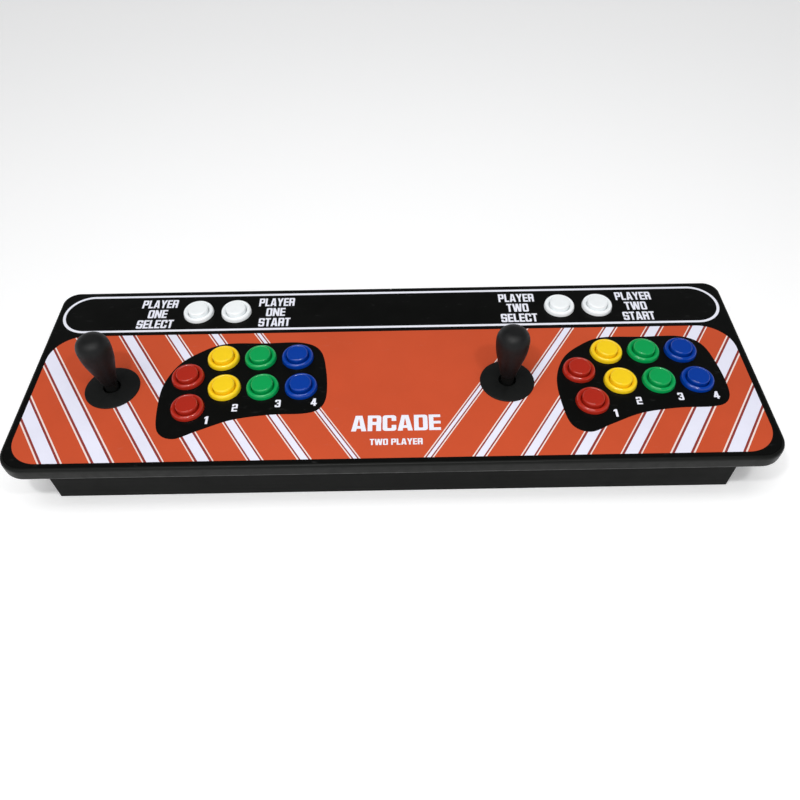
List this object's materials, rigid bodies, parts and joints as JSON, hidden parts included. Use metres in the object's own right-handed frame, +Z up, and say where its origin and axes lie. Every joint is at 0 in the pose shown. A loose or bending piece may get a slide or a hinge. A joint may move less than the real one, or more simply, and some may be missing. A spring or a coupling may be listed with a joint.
{
  "type": "arcade joystick panel",
  "caption": "Two-player arcade control panel: striped printed top with black edge molding on a low black case, with bat-top joysticks and round push buttons.",
  "frame": {"origin": "centre of the panel's outline, on the surface that the case stands on", "axes": "+X along the panel to the players' right, +Y to the rear, +Z up out of the printed face"},
  "size_m": [0.739, 0.245, 0.1475],
  "materials": {
    "board": "black-faced fibreboard",
    "print": "orange-red printed film with white stripes and black fields, satin",
    "molding": "black vinyl T-molding, satin",
    "case_black": "black laminated fibreboard, satin",
    "cover_board": "dark hardboard",
    "circuit_green": "circuit board",
    "stick_black": "black moulded plastic, satin",
    "shaft_steel": "plain turned steel",
    "housing_black": "black moulded plastic",
    "button_red": "red moulded plastic",
    "button_yellow": "yellow moulded plastic",
    "button_green": "green moulded plastic",
    "button_blue": "blue moulded plastic",
    "button_white": "white moulded plastic"
  },
  "bodies": {
    "panel": {"top_board": "board", "printed_sheet": "print", "edge_molding": "molding", "case_walls": "case_black", "bottom_cover": "cover_board", "encoder_board": "circuit_green", "left_stick_housing": "housing_black", "right_stick_housing": "housing_black", "left_red_upper_housing": "button_red", "left_red_lower_housing": "button_red", "left_yellow_upper_housing": "button_yellow", "left_yellow_lower_housing": "button_yellow", "left_green_upper_housing": "button_green", "left_green_lower_housing": "button_green", "left_blue_upper_housing": "button_blue", "left_blue_lower_housing": "button_blue", "left_select_housing": "button_white", "left_start_housing": "button_white", "right_red_upper_housing": "button_red", "right_red_lower_housing": "button_red", "right_yellow_upper_housing": "button_yellow", "right_yellow_lower_housing": "button_yellow", "right_green_upper_housing": "button_green", "right_green_lower_housing": "button_green", "right_blue_upper_housing": "button_blue", "right_blue_lower_housing": "button_blue", "right_select_housing": "button_white", "right_start_housing": "button_white"},
    "left_gimbal": {"left_stick_gimbal": "housing_black"},
    "left_handle": {"left_stick_knob": "stick_black", "left_stick_shaft": "shaft_steel", "left_stick_actuator": "housing_black"},
    "left_lower_washer": {"left_stick_lower_washer": "housing_black"},
    "left_dust_washer": {"left_stick_dust_washer": "stick_black"},
    "right_gimbal": {"right_stick_gimbal": "housing_black"},
    "right_handle": {"right_stick_knob": "stick_black", "right_stick_shaft": "shaft_steel", "right_stick_actuator": "housing_black"},
    "right_lower_washer": {"right_stick_lower_washer": "housing_black"},
    "right_dust_washer": {"right_stick_dust_washer": "stick_black"},
    "left_red_upper_button": {"left_red_upper_plunger": "button_red"},
    "left_red_lower_button": {"left_red_lower_plunger": "button_red"},
    "left_yellow_upper_button": {"left_yellow_upper_plunger": "button_yellow"},
    "left_yellow_lower_button": {"left_yellow_lower_plunger": "button_yellow"},
    "left_green_upper_button": {"left_green_upper_plunger": "button_green"},
    "left_green_lower_button": {"left_green_lower_plunger": "button_green"},
    "left_blue_upper_button": {"left_blue_upper_plunger": "button_blue"},
    "left_blue_lower_button": {"left_blue_lower_plunger": "button_blue"},
    "left_select_button": {"left_select_plunger": "button_white"},
    "left_start_button": {"left_start_plunger": "button_white"},
    "right_red_upper_button": {"right_red_upper_plunger": "button_red"},
    "right_red_lower_button": {"right_red_lower_plunger": "button_red"},
    "right_yellow_upper_button": {"right_yellow_upper_plunger": "button_yellow"},
    "right_yellow_lower_button": {"right_yellow_lower_plunger": "button_yellow"},
    "right_green_upper_button": {"right_green_upper_plunger": "button_green"},
    "right_green_lower_button": {"right_green_lower_plunger": "button_green"},
    "right_blue_upper_button": {"right_blue_upper_plunger": "button_blue"},
    "right_blue_lower_button": {"right_blue_lower_plunger": "button_blue"},
    "right_select_button": {"right_select_plunger": "button_white"},
    "right_start_button": {"right_start_plunger": "button_white"}
  },
  "joints": [
    {"name": "left_tilt_sideways", "type": "hinge", "parent": "panel", "child": "left_gimbal", "pos_m": [-0.2815, -0.0225, 0.048], "axis": [0, 1, 0], "range_deg": [-9, 9], "stiffness_Nm_per_rad": 2.5},
    {"name": "left_tilt_fore_aft", "type": "hinge", "parent": "left_gimbal", "child": "left_handle", "pos_m": [-0.2815, -0.0225, 0.048], "axis": [1, 0, 0], "range_deg": [-9, 9], "stiffness_Nm_per_rad": 2.5},
    {"name": "left_washer_sideways", "type": "slide", "parent": "panel", "child": "left_lower_washer", "axis": [1, 0, 0], "range_m": [-0.0048, 0.0048]},
    {"name": "left_washer_fore_aft", "type": "slide", "parent": "left_lower_washer", "child": "left_dust_washer", "axis": [0, 1, 0], "range_m": [-0.0048, 0.0048]},
    {"name": "right_tilt_sideways", "type": "hinge", "parent": "panel", "child": "right_gimbal", "pos_m": [0.1165, -0.0225, 0.048], "axis": [0, 1, 0], "range_deg": [-9, 9], "stiffness_Nm_per_rad": 2.5},
    {"name": "right_tilt_fore_aft", "type": "hinge", "parent": "right_gimbal", "child": "right_handle", "pos_m": [0.1165, -0.0225, 0.048], "axis": [1, 0, 0], "range_deg": [-9, 9], "stiffness_Nm_per_rad": 2.5},
    {"name": "right_washer_sideways", "type": "slide", "parent": "panel", "child": "right_lower_washer", "axis": [1, 0, 0], "range_m": [-0.0048, 0.0048]},
    {"name": "right_washer_fore_aft", "type": "slide", "parent": "right_lower_washer", "child": "right_dust_washer", "axis": [0, 1, 0], "range_m": [-0.0048, 0.0048]},
    {"name": "left_red_upper_press", "type": "slide", "parent": "panel", "child": "left_red_upper_button", "axis": [0, 0, -1], "range_m": [0, 0.003], "stiffness_N_per_m": 150, "springref_m": -0.003},
    {"name": "left_red_lower_press", "type": "slide", "parent": "panel", "child": "left_red_lower_button", "axis": [0, 0, -1], "range_m": [0, 0.003], "stiffness_N_per_m": 150, "springref_m": -0.003},
    {"name": "left_yellow_upper_press", "type": "slide", "parent": "panel", "child": "left_yellow_upper_button", "axis": [0, 0, -1], "range_m": [0, 0.003], "stiffness_N_per_m": 150, "springref_m": -0.003},
    {"name": "left_yellow_lower_press", "type": "slide", "parent": "panel", "child": "left_yellow_lower_button", "axis": [0, 0, -1], "range_m": [0, 0.003], "stiffness_N_per_m": 150, "springref_m": -0.003},
    {"name": "left_green_upper_press", "type": "slide", "parent": "panel", "child": "left_green_upper_button", "axis": [0, 0, -1], "range_m": [0, 0.003], "stiffness_N_per_m": 150, "springref_m": -0.003},
    {"name": "left_green_lower_press", "type": "slide", "parent": "panel", "child": "left_green_lower_button", "axis": [0, 0, -1], "range_m": [0, 0.003], "stiffness_N_per_m": 150, "springref_m": -0.003},
    {"name": "left_blue_upper_press", "type": "slide", "parent": "panel", "child": "left_blue_upper_button", "axis": [0, 0, -1], "range_m": [0, 0.003], "stiffness_N_per_m": 150, "springref_m": -0.003},
    {"name": "left_blue_lower_press", "type": "slide", "parent": "panel", "child": "left_blue_lower_button", "axis": [0, 0, -1], "range_m": [0, 0.003], "stiffness_N_per_m": 150, "springref_m": -0.003},
    {"name": "left_select_press", "type": "slide", "parent": "panel", "child": "left_select_button", "axis": [0, 0, -1], "range_m": [0, 0.003], "stiffness_N_per_m": 150, "springref_m": -0.003},
    {"name": "left_start_press", "type": "slide", "parent": "panel", "child": "left_start_button", "axis": [0, 0, -1], "range_m": [0, 0.003], "stiffness_N_per_m": 150, "springref_m": -0.003},
    {"name": "right_red_upper_press", "type": "slide", "parent": "panel", "child": "right_red_upper_button", "axis": [0, 0, -1], "range_m": [0, 0.003], "stiffness_N_per_m": 150, "springref_m": -0.003},
    {"name": "right_red_lower_press", "type": "slide", "parent": "panel", "child": "right_red_lower_button", "axis": [0, 0, -1], "range_m": [0, 0.003], "stiffness_N_per_m": 150, "springref_m": -0.003},
    {"name": "right_yellow_upper_press", "type": "slide", "parent": "panel", "child": "right_yellow_upper_button", "axis": [0, 0, -1], "range_m": [0, 0.003], "stiffness_N_per_m": 150, "springref_m": -0.003},
    {"name": "right_yellow_lower_press", "type": "slide", "parent": "panel", "child": "right_yellow_lower_button", "axis": [0, 0, -1], "range_m": [0, 0.003], "stiffness_N_per_m": 150, "springref_m": -0.003},
    {"name": "right_green_upper_press", "type": "slide", "parent": "panel", "child": "right_green_upper_button", "axis": [0, 0, -1], "range_m": [0, 0.003], "stiffness_N_per_m": 150, "springref_m": -0.003},
    {"name": "right_green_lower_press", "type": "slide", "parent": "panel", "child": "right_green_lower_button", "axis": [0, 0, -1], "range_m": [0, 0.003], "stiffness_N_per_m": 150, "springref_m": -0.003},
    {"name": "right_blue_upper_press", "type": "slide", "parent": "panel", "child": "right_blue_upper_button", "axis": [0, 0, -1], "range_m": [0, 0.003], "stiffness_N_per_m": 150, "springref_m": -0.003},
    {"name": "right_blue_lower_press", "type": "slide", "parent": "panel", "child": "right_blue_lower_button", "axis": [0, 0, -1], "range_m": [0, 0.003], "stiffness_N_per_m": 150, "springref_m": -0.003},
    {"name": "right_select_press", "type": "slide", "parent": "panel", "child": "right_select_button", "axis": [0, 0, -1], "range_m": [0, 0.003], "stiffness_N_per_m": 150, "springref_m": -0.003},
    {"name": "right_start_press", "type": "slide", "parent": "panel", "child": "right_start_button", "axis": [0, 0, -1], "range_m": [0, 0.003], "stiffness_N_per_m": 150, "springref_m": -0.003}
  ],
  "couplings": [
    {"joint": "left_washer_sideways", "follows": "left_tilt_sideways", "m_per_rad": 0.0295},
    {"joint": "left_washer_fore_aft", "follows": "left_tilt_fore_aft", "m_per_rad": -0.0295},
    {"joint": "right_washer_sideways", "follows": "right_tilt_sideways", "m_per_rad": 0.0295},
    {"joint": "right_washer_fore_aft", "follows": "right_tilt_fore_aft", "m_per_rad": -0.0295}
  ]
}
